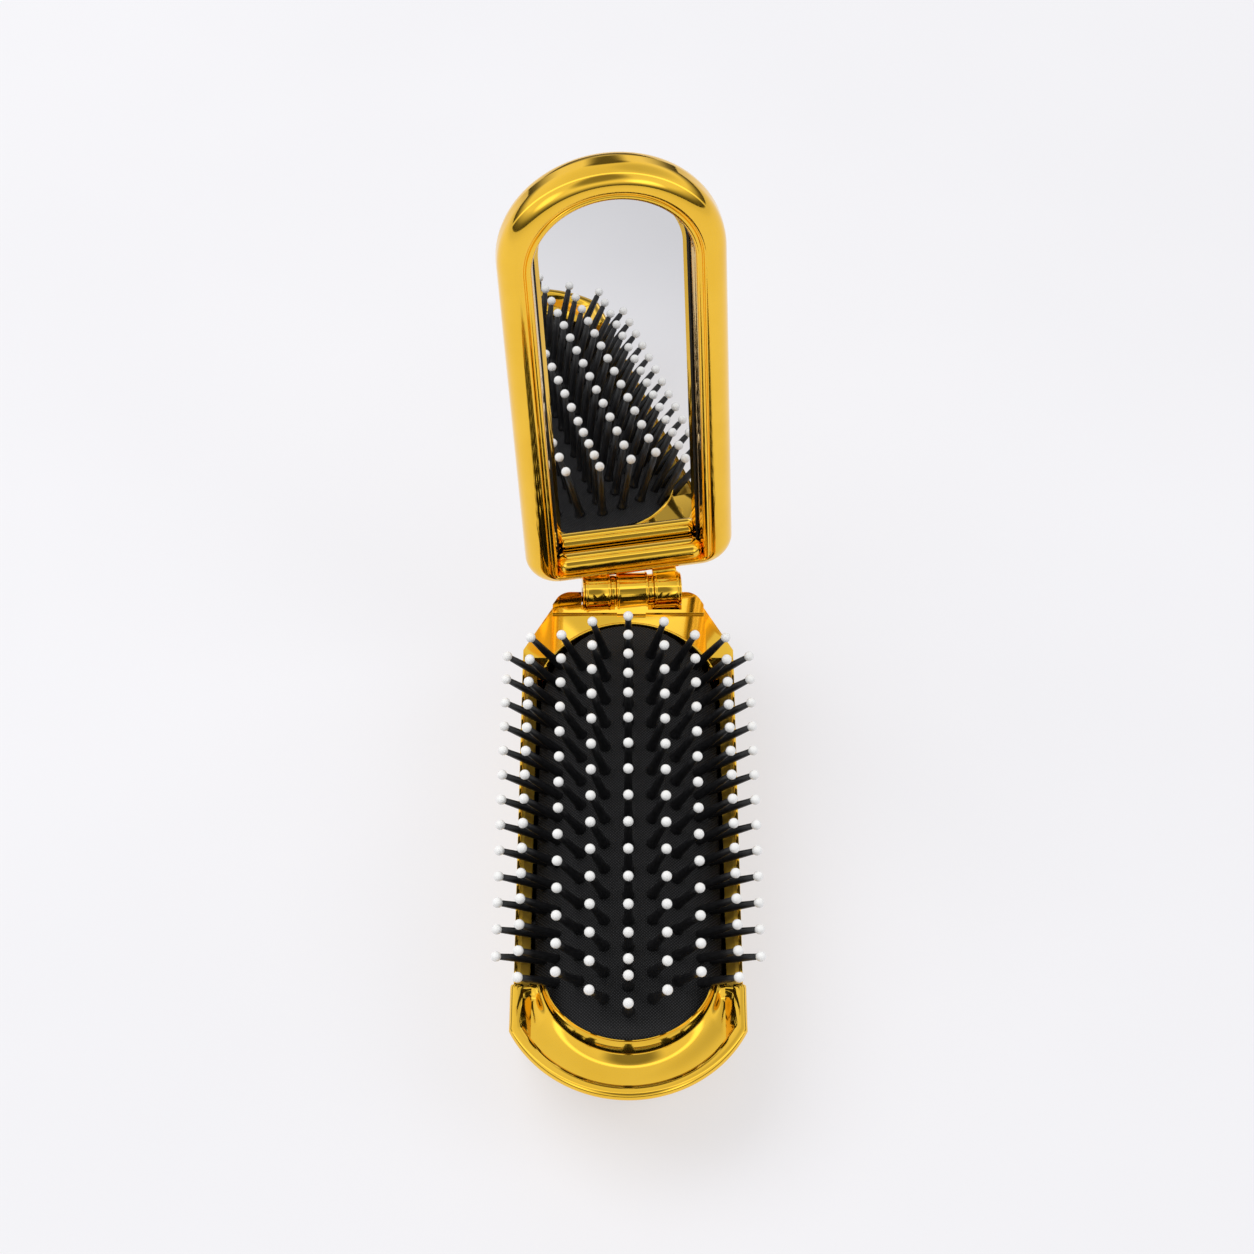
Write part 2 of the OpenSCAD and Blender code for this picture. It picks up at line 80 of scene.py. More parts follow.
LID_JOINT = next(j for j in frame["joints"] if j["name"] == "lid_fold")
LID_PIVOT = Vector(LID_JOINT["pos_m"])
LID_JOINT_AXIS = Vector(LID_JOINT["axis"])
LID_OPEN = Matrix.Rotation(-math.radians(LID_JOINT["range_deg"][1]), 4, LID_JOINT_AXIS)
LID_HALF_W = 22.25 * MM
LID_LEN = 109.8 * MM
LID_NEAR = 2.7 * MM
LID_CORNER_R = 7.2 * MM
LID_T = 9.3 * MM
LID_SIDE = 1.1 * MM                             # it sits this far to the right
RIM_GAP = 0.3 * MM                              # the shut lid rests this far above the case
RIM_W = 6.9 * MM                                # width of the rolled rim
MIRROR_DEPTH = 6.0 * MM
NEAR_W = 3.3 * MM                               # width of the rim at the hinge end
BAR_R = 2.3 * MM                                # round bar across the recess
BAR_Y = 4.6 * MM                                # its distance from the lid's hinge end
BAR_H = 2.6 * MM                                # its depth in the recess
SMALLEST_CORNER = 0.4 * MM
ROLL_R = 3.85 * MM
FREE_ROLL_W = 2.6 * MM                          # this much of the roll is as wide all round
# Sections of the ring in millimetres: (distance from its outside, height)
LID_GROOVE = [(4.84, 0.24), (4.98, 0.42), (5.14, 0.42), (5.26, 0.24)]
LID_LIP = [(5.36, 0.09), (5.55, 0.02), (5.85, 0.03), (6.12, 0.14), (6.34, 0.36), (6.5, 0.7),
           (6.58, 1.3)]
LUG_REACH = 1.5 * MM                            # the lugs reach this far into the lid
LUG_H = 3.2 * MM
BACK_COVER_T = 3.5 * MM
BACK_SPLIT_H = LID_T - BACK_COVER_T - RIM_GAP
GLASS_T = 1.3 * MM
GLASS_EDGE = 0.5 * MM                           # gap between the glass and the rim
GLASS_BEVEL_W = 0.8 * MM
GLASS_BEVEL_H = 0.32 * MM
TAPE_H = MIRROR_DEPTH + GLASS_T - RIM_GAP

# Hinge: lengths along its axis from the middle knuckle's centre
KNUCKLE_R = 3.8 * MM
MID_KNUCKLE = 3.4 * MM                          # half length of the middle knuckle
SIDE_START = 4.7 * MM
SIDE_END = 10.1 * MM
HINGE_SIDE = 0.7 * MM                           # the knuckles sit this far to the right
HINGE_PIN_R = 1.0 * MM
RING_W = 0.62 * MM
RING_PROUD = 0.16 * MM
RING_EDGE = 0.22 * MM
RING_GAP = 0.04 * MM

FACE_Z = RIM_Z - 0.7 * MM                       # flat face at the hinge end

# One entry per column: side offset, fan at the two ends, first row, pitch, count
COLUMNS = [
    (0.0, 0.0, 0.0, 43.8, 0.0, 17),
    (4.8, 12.2, 12.8, 42.7, 5.77, 15),
    (9.7, 19.3, 20.6, 40.2, 5.70, 14),
    (14.2, 29.4, 36.0, 41.2, 5.34, 15),
    (16.5, 44.5, 49.5, 38.6, 5.54, 13),
]


# ------------------------------------------------------------------ material helpers
def math_node(nodes, links, op, a, b):
    """Math node fed by numbers or by other nodes' outputs."""
    node = nodes.new("ShaderNodeMath")
    node.operation = op
    for value, socket in zip((a, b), node.inputs):
        if isinstance(value, (int, float)):
            socket.default_value = value
        else:
            links.new(value, socket)
    return node.outputs[0]


class Shader:
    """A node material, with short calls for the nodes used here."""

    def __init__(self, name):
        self.mat = bpy.data.materials.new(name)
        self.mat.use_nodes = True
        self.nodes = self.mat.node_tree.nodes
        self.links = self.mat.node_tree.links
        self.bsdf = self.nodes["Principled BSDF"]
        self.coords = self.nodes.new("ShaderNodeTexCoord")

    def set(self, **values):
        for key, value in values.items():
            self.bsdf.inputs[key.replace("_", " ")].default_value = value
        return self

    def link(self, out, to):
        self.links.new(out, to)

    def noise(self, scale, detail=3.0, roughness=0.5, vector=None):
        node = self.nodes.new("ShaderNodeTexNoise")
        node.inputs["Scale"].default_value = scale
        node.inputs["Detail"].default_value = detail
        node.inputs["Roughness"].default_value = roughness
        self.link(vector or self.coords.outputs["Object"], node.inputs["Vector"])
        return node.outputs["Fac"]

    def mapping(self, scale=(1, 1, 1), rotation=(0, 0, 0)):
        node = self.nodes.new("ShaderNodeMapping")
        node.inputs["Scale"].default_value = scale
        node.inputs["Rotation"].default_value = rotation
        self.link(self.coords.outputs["Object"], node.inputs["Vector"])
        return node.outputs["Vector"]

    def wave(self, scale, vector):
        node = self.nodes.new("ShaderNodeTexWave")
        node.inputs["Scale"].default_value = scale
        self.link(vector, node.inputs["Vector"])
        return node.outputs["Fac"]

    def math(self, op, a, b):
        return math_node(self.nodes, self.links, op, a, b)

    def ramp(self, fac, stops):
        node = self.nodes.new("ShaderNodeValToRGB")
        elements = node.color_ramp.elements
        for i, (pos, color) in enumerate(stops):
            element = elements[i] if i < 2 else elements.new(pos)
            element.position = pos
            element.color = (*color, 1.0)
        self.link(fac, node.inputs["Fac"])
        return node.outputs["Color"]

    def span(self, fac, low, high):
        node = self.nodes.new("ShaderNodeMapRange")
        node.inputs["To Min"].default_value = low
        node.inputs["To Max"].default_value = high
        self.link(fac, node.inputs["Value"])
        return node.outputs["Result"]

    def bump(self, height, strength, distance):
        node = self.nodes.new("ShaderNodeBump")
        node.inputs["Strength"].default_value = strength
        node.inputs["Distance"].default_value = distance
        self.link(height, node.inputs["Height"])
        self.link(node.outputs["Normal"], self.bsdf.inputs["Normal"])


def gold_material(name):
    """Bright plated gold: a slight cloudiness, fine wiping marks and a hint of ripple."""
    s = Shader(name).set(Metallic=1.0, Coat_Weight=0.45, Coat_Roughness=0.03)
    cloud = s.noise(90.0, 4.0)
    s.link(
        s.ramp(cloud, [(0.3, (0.90, 0.525, 0.028)), (0.7, (0.95, 0.57, 0.040))]),
        s.bsdf.inputs["Base Color"],
    )
    wipes = s.noise(1.0, 6.0, 0.65, s.mapping((2600, 240, 900), (0.2, 0.1, 0.7)))
    s.link(s.span(wipes, 0.045, 0.105), s.bsdf.inputs["Roughness"])
    s.bump(s.noise(150.0, 2.0), 0.008, 0.2 * MM)
    return s.mat


def satin_gold_material(name):
    """Gold lacquer over a bead-blasted wall: soft, without clear reflections."""
    s = Shader(name).set(Metallic=0.35, Coat_Weight=0.3, Coat_Roughness=0.12)
    s.link(
        s.ramp(s.noise(300.0, 4.0), [(0.3, (0.90, 0.52, 0.05)), (0.7, (0.96, 0.60, 0.08))]),
        s.bsdf.inputs["Base Color"],
    )
    s.link(s.span(s.noise(2200.0, 2.0), 0.42, 0.56), s.bsdf.inputs["Roughness"])
    s.bump(s.noise(4000.0, 2.0), 0.15, 0.03 * MM)
    return s.mat


def rubber_material(name):
    """Near-black rubber with a fine diagonal weave."""
    s = Shader(name).set(Metallic=0.0, Specular_IOR_Level=0.28)
    pitch = 0.46 * MM
    scale = 2 * math.pi / (20.0 * pitch)
    one = s.wave(scale, s.mapping(rotation=(0, 0, math.radians(45))))
    two = s.wave(scale, s.mapping(rotation=(0, 0, math.radians(-45))))
    weave = s.math("MULTIPLY", one, two)
    s.link(
        s.ramp(weave, [(0.05, (0.002, 0.002, 0.0022)), (0.75, (0.034, 0.034, 0.036))]),
        s.bsdf.inputs["Base Color"],
    )
    s.link(s.span(s.noise(400.0, 3.0), 0.5, 0.62), s.bsdf.inputs["Roughness"])
    s.bump(weave, 0.8, 0.12 * MM)
    return s.mat


def pin_material(name):
    """Satin black nylon."""
    s = Shader(name).set(Metallic=0.0)
    s.link(
        s.ramp(s.noise(700.0), [(0.3, (0.006, 0.006, 0.0065)), (0.7, (0.013, 0.013, 0.014))]),
        s.bsdf.inputs["Base Color"],
    )
    s.link(s.span(s.noise(1800.0, 2.0), 0.26, 0.4), s.bsdf.inputs["Roughness"])
    s.bump(s.noise(2500.0, 2.0), 0.05, 0.05 * MM)
    return s.mat


def tip_material(name):
    """Glossy white ball, a little warmer where it is thick."""
    s = Shader(name).set(Metallic=0.0)
    s.bsdf.inputs["Coat Weight"].default_value = 0.4
    s.bsdf.inputs["Coat Roughness"].default_value = 0.08
    s.link(
        s.ramp(s.noise(500.0), [(0.3, (0.84, 0.83, 0.81)), (0.7, (0.90, 0.90, 0.89))]),
        s.bsdf.inputs["Base Color"],
    )
    s.link(s.span(s.noise(900.0, 2.0), 0.18, 0.28), s.bsdf.inputs["Roughness"])
    return s.mat


def moulded_material(name, low, high, roughness):
    """Plain moulded part with a fine spark-eroded grain."""
    s = Shader(name).set(Metallic=0.0)
    s.link(s.ramp(s.noise(600.0), [(0.3, low), (0.7, high)]), s.bsdf.inputs["Base Color"])
    s.link(s.span(s.noise(1500.0, 2.0), roughness - 0.08, roughness + 0.08),
           s.bsdf.inputs["Roughness"])
    s.bump(s.noise(3000.0, 2.0), 0.1, 0.05 * MM)
    return s.mat


def steel_material(name):
    """Drawn steel with lengthwise marks."""
    s = Shader(name).set(Metallic=1.0)
    marks = s.noise(1.0, 4.0, 0.6, s.mapping((200, 5000, 5000)))
    s.link(s.ramp(marks, [(0.3, (0.52, 0.53, 0.55)), (0.7, (0.68, 0.69, 0.71))]),
           s.bsdf.inputs["Base Color"])
    s.link(s.span(marks, 0.16, 0.32), s.bsdf.inputs["Roughness"])
    return s.mat


def mirror_material(name):
    """Silvered glass, very slightly hazy, with a painted reflection: lighter towards its bottom and
    left, greyer towards its top and right.
    """
    s = Shader(name).set(Metallic=1.0)
    split = s.nodes.new("ShaderNodeSeparateXYZ")
    s.link(s.coords.outputs["Object"], split.inputs["Vector"])
    height = s.nodes.new("ShaderNodeMapRange")
    height.inputs["From Min"].default_value = 0.045
    height.inputs["From Max"].default_value = 0.13
    s.link(split.outputs["Z"], height.inputs["Value"])
    across = s.nodes.new("ShaderNodeMapRange")
    across.inputs["From Min"].default_value = -0.016
    across.inputs["From Max"].default_value = 0.016
    across.inputs["To Min"].default_value = -0.14
    across.inputs["To Max"].default_value = 0.2
    s.link(split.outputs["X"], across.inputs["Value"])
    # painted reflection: the colour runs from lighter to greyer with height and towards the right
    # of the glass, plus a faint random haze
    painted_reflection_grade = s.math("ADD", height.outputs["Result"], across.outputs["Result"])
    haze_and_painted_reflection = s.math("ADD", painted_reflection_grade, s.span(s.noise(60.0, 3.0), -0.06, 0.06))
    s.link(s.ramp(haze_and_painted_reflection, [(0.1, (0.94, 0.94, 0.945)), (0.95, (0.70, 0.702, 0.71))]),
           s.bsdf.inputs["Base Color"])
    s.link(s.span(s.noise(90.0, 2.0), 0.0, 0.012), s.bsdf.inputs["Roughness"])
    return s.mat


MATERIALS = {
    "gold_shell": gold_material("gold_shell"),
    "gold_frame": gold_material("gold_frame"),
    "gold_cap": gold_material("gold_cap"),
    "gold_lid": gold_material("gold_lid"),
    "gold_back": gold_material("gold_back"),
    "pad_rubber": rubber_material("pad_rubber"),
    "pin_black": pin_material("pin_black"),
    "tip_white": tip_material("tip_white"),
    "slide_black": moulded_material("slide_black", (0.012, 0.012, 0.013), (0.03, 0.03, 0.032), 0.5),
    "steel": steel_material("steel"),
    "mirror": mirror_material("mirror"),
    "gasket_black": moulded_material("gasket_black", (0.005, 0.005, 0.005),
                                     (0.012, 0.012, 0.013), 0.5),
    "tape_white": moulded_material("tape_white", (0.55, 0.55, 0.52), (0.7, 0.7, 0.67), 0.8),
}
SLOT_OF = {s["node"]: s["material_slot"] for s in frame["record"]["subparts"]}
BODY_OF = {n: b for b, ns in frame["record"]["behaviour"]["bodies"].items() for n in ns}


# ------------------------------------------------------------------ mesh helpers
def new_object(name, bm, slot, smooth=True):
    """Turns a bmesh into a scene object with its material."""
    mesh = bpy.data.meshes.new(name)
    bmesh.ops.recalc_face_normals(bm, faces=bm.faces)
    bm.to_mesh(mesh)
    bm.free()
    for poly in mesh.polygons:
        poly.use_smooth = smooth
    mesh.materials.append(MATERIALS[slot])
    obj = bpy.data.objects.new(name, mesh)
    bpy.context.scene.collection.objects.link(obj)
    return obj


def settle(obj, node, *more):
    """The piece stands for CAD nodes and rides on their body."""
    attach(obj, BODY_OF[node])
    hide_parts(node, *more)
    return obj


def polished(node, width, angle=28.0):
    """The CAD node with its facets merged and its edges rounded over."""
    bm = bmesh.new()
    bm.from_mesh(frame["nodes"][node].data)
    bmesh.ops.remove_doubles(bm, verts=bm.verts, dist=0.002 * MM)
    bmesh.ops.dissolve_limit(bm, angle_limit=math.radians(1.0), verts=bm.verts, edges=bm.edges)
    obj = new_object(node + "_polished", bm, SLOT_OF[node])
    obj.data.set_sharp_from_angle(angle=math.radians(angle))
    if width:
        bevel = obj.modifiers.new("rounding", "BEVEL")
        bevel.width = width
        bevel.segments = 3
        bevel.limit_method = "ANGLE"
        bevel.angle_limit = math.radians(angle)
        bevel.harden_normals = True
        bevel.use_clamp_overlap = True
    return settle(obj, node)


def opened(obj):
    """Turns a lid piece, built shut, to the pictured place."""
    turn = Matrix.Translation(LID_PIVOT) @ LID_OPEN @ Matrix.Translation(-LID_PIVOT)
    obj.data.transform(turn)
    return obj


# ------------------------------------------------------------------ lid
LID_FAR_Y = LID_PIVOT.y - LID_LEN + LID_HALF_W
LID_NEAR_Y = LID_PIVOT.y - LID_NEAR
LID_FLOOR_Z = RIM_Z + RIM_GAP


def lid_stations(far_steps=96, corner_steps=20):
    """Stations round the lid: side (0 on the round end) and angle, counterclockwise from -X."""
    stations = [(0, math.pi + math.pi * i / far_steps) for i in range(far_steps + 1)]
    for side, start in ((1, 0.0), (-1, math.pi / 2)):
        stations += [(side, start + math.pi / 2 * i / corner_steps)
                     for i in range(corner_steps + 1)]
    return stations


def lid_point(station, depth, near_depth, z):
    """A point of the outline moved inwards, by another depth at the hinge end."""
    side, angle = station
    if side == 0:
        r, x, y = LID_HALF_W - depth, LID_SIDE, LID_FAR_Y
    else:
        r = max(LID_CORNER_R - depth, SMALLEST_CORNER)
        x = LID_SIDE + side * (LID_HALF_W - depth - r)
        y = LID_NEAR_Y - near_depth - r
    return Vector((x + r * math.cos(angle), y + r * math.sin(angle), z))


def near_depth(depth):
    """Past the roll, the rim narrows at the hinge end."""
    if depth <= FREE_ROLL_W:
        return depth
    return FREE_ROLL_W + (depth - FREE_ROLL_W) * (NEAR_W - FREE_ROLL_W) / (RIM_W - FREE_ROLL_W)


def sweep_ring(name, profile, slot):
    """Sweeps (depth, height) points round the lid's outline."""
    bm = bmesh.new()
    rings = [[bm.verts.new(lid_point(station, d, near_depth(d), LID_FLOOR_Z + h))
              for d, h in profile] for station in lid_stations()]
    count = len(profile)
    for i, ring in enumerate(rings):
        after = rings[(i + 1) % len(rings)]
        for j in range(count):
            k = (j + 1) % count
            bm.faces.new((ring[j], after[j], after[k], ring[k]))
    return new_object(name, bm, slot)


def arc(cx, cz, r, start, end, steps):
    """Points of an arc, its angles in degrees."""
    angles = [math.radians(start + (end - start) * i / steps) for i in range(steps + 1)]
    return [(cx + r * math.cos(a), cz + r * math.sin(a)) for a in angles]


def lid_ring():
    """Rolled ring with a groove, an inner lip and the recess's wall."""
    mirror_h = MIRROR_DEPTH - RIM_GAP
    roll = arc(ROLL_R, ROLL_R, ROLL_R, 180, 282, 24)
    groove_and_lip = [(d * MM, h * MM) for d, h in LID_GROOVE + LID_LIP]
    wall_d = RIM_W - 0.05 * MM
    wall = [(6.62 * MM, 2.0 * MM), (wall_d, 2.5 * MM), (wall_d, mirror_h - 0.5 * MM),
            (wall_d, TAPE_H)]
    outside = [(2.7 * MM, TAPE_H), (2.7 * MM, BACK_SPLIT_H), (0.0, BACK_SPLIT_H)]
    obj = sweep_ring("lid_ring", roll + groove_and_lip + wall + outside, "gold_lid")
    obj.data.set_sharp_from_angle(angle=math.radians(35))
    return opened(obj)


def lid_lugs():
    """The two lugs between the lid and its knuckles."""
    bm = bmesh.new()
    for start in (HINGE_SIDE - SIDE_END, HINGE_SIDE + SIDE_START):
        low = Vector((start + 0.1 * MM, LID_NEAR_Y - LUG_REACH, LID_PIVOT.z + 0.35 * MM))
        size = Vector((SIDE_END - SIDE_START - 0.2 * MM, LID_NEAR + LUG_REACH, LUG_H))
        cube = bmesh.ops.create_cube(bm, size=1.0)["verts"]
        bmesh.ops.scale(bm, vec=size, verts=cube)
        bmesh.ops.translate(bm, vec=low + size / 2, verts=cube)
    obj = new_object("lid_lugs", bm, "gold_lid")
    obj.data.set_sharp_from_angle(angle=math.radians(28))
    bevel = obj.modifiers.new("rounding", "BEVEL")
    bevel.width = 0.4 * MM
    bevel.segments = 3
    return opened(obj)


def lid_bar():
    """Polished round bar with round ends, across the recess at the hinge end."""
    half = LID_HALF_W - RIM_W - BAR_R + 0.3 * MM
    place = Matrix.Translation((LID_SIDE, LID_NEAR_Y - BAR_Y, LID_FLOOR_Z + BAR_H))
    turn = place @ Matrix.Rotation(math.pi / 2, 4, "Y")
    steps = 12
    angles = [math.pi / 2 * i / steps for i in range(1, steps + 1)]
    cap = [(BAR_R * math.sin(a), half + BAR_R * math.cos(a)) for a in angles]
    other = [(r, -z) for r, z in cap]
    profile = [(0.0, -half - BAR_R)] + other + cap[::-1] + [(0.0, half + BAR_R)]
    bm = bmesh.new()
    lathe(bm, turn, profile, 48)
    return opened(new_object("lid_bar", bm, "gold_lid"))


def mirror_glass():
    """Glass with a bevelled border all round."""
    face_z = RIM_Z + MIRROR_DEPTH
    levels = [(GLASS_EDGE, face_z + GLASS_T), (GLASS_EDGE, face_z + GLASS_BEVEL_H),
              (GLASS_EDGE + GLASS_BEVEL_W, face_z)]
    bm = bmesh.new()
    loops = [[bm.verts.new(lid_point(station, RIM_W + inset, NEAR_W + inset, z))
              for station in lid_stations(64, 6)] for inset, z in levels]
    for a, b in zip(loops, loops[1:]):
        for i in range(len(a)):
            j = (i + 1) % len(a)
            bm.faces.new((a[i], a[j], b[j], b[i]))
    bm.faces.new(loops[-1])
    bm.faces.new(list(reversed(loops[0])))
    obj = new_object("mirror_glass_bevelled", bm, "mirror", smooth=False)
    return settle(opened(obj), "mirror_glass")


# ------------------------------------------------------------------ pad and pins
TAIL_DIP = 1.6 * MM                             # the pad dips this far under the cap's lip
TAIL_DIP_LEN = 3.5 * MM


def fall_at(x):
    """The dome's fall towards the sides."""
    return PAD_FALL * (abs(x) / PAD_R) ** 2.5


def dip_at(y):
    """The pad's dip at its tail end."""
    return TAIL_DIP * max(0.0, 1 - (y - PAD_TAIL_Y + PAD_R) / TAIL_DIP_LEN) ** 1.5


def cushion():
    """Domed pad: rings of a round-ended outline, a rounded edge and an upright skirt."""
    bm = bmesh.new()
    end_steps = 40
    side_steps = 24
    edge_r = 0.35 * MM
    spine = []
    for i in range(end_steps + 1):
        a = math.pi + math.pi * i / end_steps
        spine.append((PAD_TAIL_Y, math.cos(a), math.sin(a)))
    length = PAD_HEAD_Y - PAD_TAIL_Y
    for i in range(1, side_steps):
        spine.append((PAD_TAIL_Y + length * i / side_steps, 1.0, 0.0))
    for i in range(end_steps + 1):
        a = math.pi * i / end_steps
        spine.append((PAD_HEAD_Y, math.cos(a), math.sin(a)))
    for i in range(1, side_steps):
        spine.append((PAD_HEAD_Y - length * i / side_steps, -1.0, 0.0))
    radii = [PAD_R * t / 22 for t in range(1, 22)] + [PAD_R - edge_r]
    levels = [(r, 0.0) for r in radii]
    for i in range(1, 5):
        a = math.radians(90 * i / 4)
        levels.append((PAD_R - edge_r + edge_r * math.sin(a), edge_r * (1 - math.cos(a))))
    loops = []
    for r, drop in levels:
        loops.append([bm.verts.new((r * ux, y + r * uy,
                                    PAD_CROWN_Z - fall_at(r * ux) - dip_at(y + r * uy) - drop))
                      for y, ux, uy in spine])
    loops.append([bm.verts.new((PAD_R * ux, y + PAD_R * uy, PAD_BOTTOM_Z)) for y, ux, uy in spine])
    for a, b in zip(loops, loops[1:]):
        for i in range(len(a)):
            j = (i + 1) % len(a)
            bm.faces.new((a[i], a[j], b[j], b[i]))
    # the middle is closed across the spine, pairing left with right
    inner = loops[0]
    half = len(inner)
    tail_mid = end_steps // 2
    head_mid = end_steps + side_steps + end_steps // 2
    left, right = tail_mid, tail_mid
    while (right - left) % half < half:
        nl, nr = (left - 1) % half, (right + 1) % half
        if nr == head_mid:
            bm.faces.new((inner[left], inner[right], inner[head_mid]))
            break
        if left == right:
            bm.faces.new((inner[left], inner[nr], inner[nl]))
        else:
            bm.faces.new((inner[left], inner[right], inner[nr], inner[nl]))
        left, right = nl, nr
    obj = new_object("cushion_pad_woven", bm, "pad_rubber")
    obj.data.set_sharp_from_angle(angle=math.radians(50))
    return settle(obj, "cushion_pad")


def centre_gap(i):
    """Spacing of the middle column: closer at the hinge end and once near the tail."""
    special = {13: 5.3, 14: 3.3, 15: 5.5}
    return 4.6 if i < 4 else special.get(i, 5.8)


def pin_frames(k, side):
    """Placement of each pin of a column, root at its origin and standing along +Z."""
    offset, fan_a, fan_b, first, pitch, count = COLUMNS[k]
    x = side * offset * MM
    for j in range(count):
        travel = sum(centre_gap(i) for i in range(j)) if k == 0 else j * pitch
        y = (first - travel) * MM
        fan = math.radians(fan_a + (fan_b - fan_a) * j / (count - 1)) * side
        share = max(0.0, (FIRST_PIN_Y - y) / (FIRST_PIN_Y - LAST_PIN_Y))
        lean = TAIL_LEAN * share ** 1.25
        root = Vector((x, y, PAD_CROWN_Z - fall_at(x)))
        place = Matrix.Translation(root) @ Matrix.Rotation(fan, 4, "Y")
        yield place @ Matrix.Rotation(lean, 4, "X")


def lathe(bm, place, profile, steps):
    """Turns (radius, height) points about local Z; a radius of 0 closes an end."""
    rings = []
    for r, z in profile:
        if r == 0:
            rings.append([bm.verts.new(place @ Vector((0, 0, z)))])
        else:
            rings.append([bm.verts.new(place @ Vector((r * math.cos(2 * math.pi * i / steps),
                                                       r * math.sin(2 * math.pi * i / steps), z)))
                          for i in range(steps)])
    for a, b in zip(rings, rings[1:]):
        for i in range(steps):
            j = (i + 1) % steps
            if len(a) == 1:
                bm.faces.new((a[0], b[i], b[j]))
            elif len(b) == 1:
                bm.faces.new((a[i], a[j], b[0]))
            else:
                bm.faces.new((a[i], a[j], b[j], b[i]))


# collar swelling out of the pad, then a slowly tapering shaft up into the ball
COLLAR_R = 1.21 * MM
OUTER_COLLAR_R = 0.94 * MM                      # the two outer columns stand closer together
PIN_PROFILE = [(0.0, -0.95), (0.6, -0.8), (1.0, -0.45), (1.2, 0.0), (1.21, 0.28), (1.14, 0.6),
               (1.04, 0.9), (0.98, 1.3), (0.94, 2.4), (0.89, 4.0), (0.78, 8.0), (0.63, 11.4),
               (0.0, 11.9)]


def pin_row(k, side, label):
    """One column of pins and, as a second piece, its ball tips."""
    bm = bmesh.new()
    widest = OUTER_COLLAR_R if k >= 3 else COLLAR_R
    profile = [(min(r * MM, widest), z * MM) for r, z in PIN_PROFILE]
    for place in pin_frames(k, side):
        lathe(bm, place, profile, 14)
    pins = new_object(f"pins_{label}_turned", bm, "pin_black")
    settle(pins, f"pins_{label}")
    bm = bmesh.new()
    ball = [(0.0, -BALL_R)]
    for i in range(1, 12):
        a = math.pi * i / 12
        ball.append((BALL_R * math.sin(a), -BALL_R * math.cos(a)))
    ball.append((0.0, BALL_R))
    to_tip = Matrix.Translation((0, 0, PIN_LEN))
    for place in pin_frames(k, side):
        lathe(bm, place @ to_tip, ball, 18)
    tips = new_object(f"tips_{label}_turned", bm, "tip_white")
    settle(tips, f"tips_{label}")


# ------------------------------------------------------------------ tail cap
CAP_HALF_W = 23.0 * MM
CAP_FRONT_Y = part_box("tail_cap")[1].y
TAIL_R = 25.7 * MM
TAIL_ARC_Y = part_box("tail_cap")[0].y + TAIL_R
CAP_CUT_Z = RIM_Z - 3.3 * MM                    # the shaped top starts here
RAKE = math.radians(24.7)                       # lean of the underside
RAKE_R = 27.0 * MM
WELL_R = PAD_R + 0.5 * MM
CREST_R = 17.25 * MM                            # crest behind the groove, its own centre
CREST_Y = CAP_FRONT_Y + 2.25 * MM
LIP_R = 17.2 * MM                               # thin lip over the pad's edge
LIP_Y = CAP_FRONT_Y + 5.4 * MM
CAP_ROLL = 1.35 * MM
PANEL_FLOOR = -1.7 * MM                         # the thumb panel against the rim
# Stations along each horn, behind the cap's front, in millimetres
HORN_STEPS = [0.0, -0.35, -0.8, -1.2, -1.9, -2.6, -3.4, -4.2, -5.2, -6.2, -7.2, -8.2]
# Sections in millimetres: (distance inwards, or outwards from the circle, height over the rim)
CAP_RIM = [(1.9, -0.06), (2.35, -0.22), (2.65, -0.5)]
CREST_SECTION = [(0.55, -0.2), (0.3, -0.03), (0.1, -0.03), (-0.12, -0.22)]
LIP_SECTION = [(0.3, -0.62), (0.12, -0.62), (0.0, -0.72), (0.0, -0.9)]
GROOVE_SECTION = [(0.35, -0.75), (0.8, -0.95), (1.0, -0.8)]     # first: share of its width


def raked_y(x):
    """Y of the leaning underside where the shaped top starts."""
    reach = RAKE_R / math.cos(RAKE)
    middle = TAIL_ARC_Y - TAIL_R + reach + (RIM_Z - 1.4 * MM - CAP_CUT_Z) * math.tan(RAKE)
    return middle - reach * math.sqrt(max(0.0, 1 - (x / RAKE_R) ** 2))


def cap_point(station, side_depth, arc_depth):
    """Point of the cap's outline moved inwards: straight sides down to a corner, then the arc."""
    kind, t = station
    r = TAIL_R - arc_depth
    half = CAP_HALF_W - side_depth
    corner = math.acos(half / r)
    if kind == "arc":
        a = math.pi + corner + (math.pi - 2 * corner) * t
        return Vector((r * math.cos(a), TAIL_ARC_Y + r * math.sin(a), 0))
    y = max(CAP_FRONT_Y + t, TAIL_ARC_Y - r * math.sin(corner))
    return Vector((-half if kind == "left" else half, y, 0))


def end_circle(centre_y, r, share):
    """Direction from the centre of a circle to its tail half, cut off at the cap's front."""
    start = math.asin((centre_y - CAP_FRONT_Y) / r)
    angle = math.pi + start + (math.pi - 2 * start) * share
    return Vector((math.cos(angle), math.sin(angle), 0))


def on_circle(centre_y, direction, r):
    return Vector((0, centre_y, 0)) + direction * r


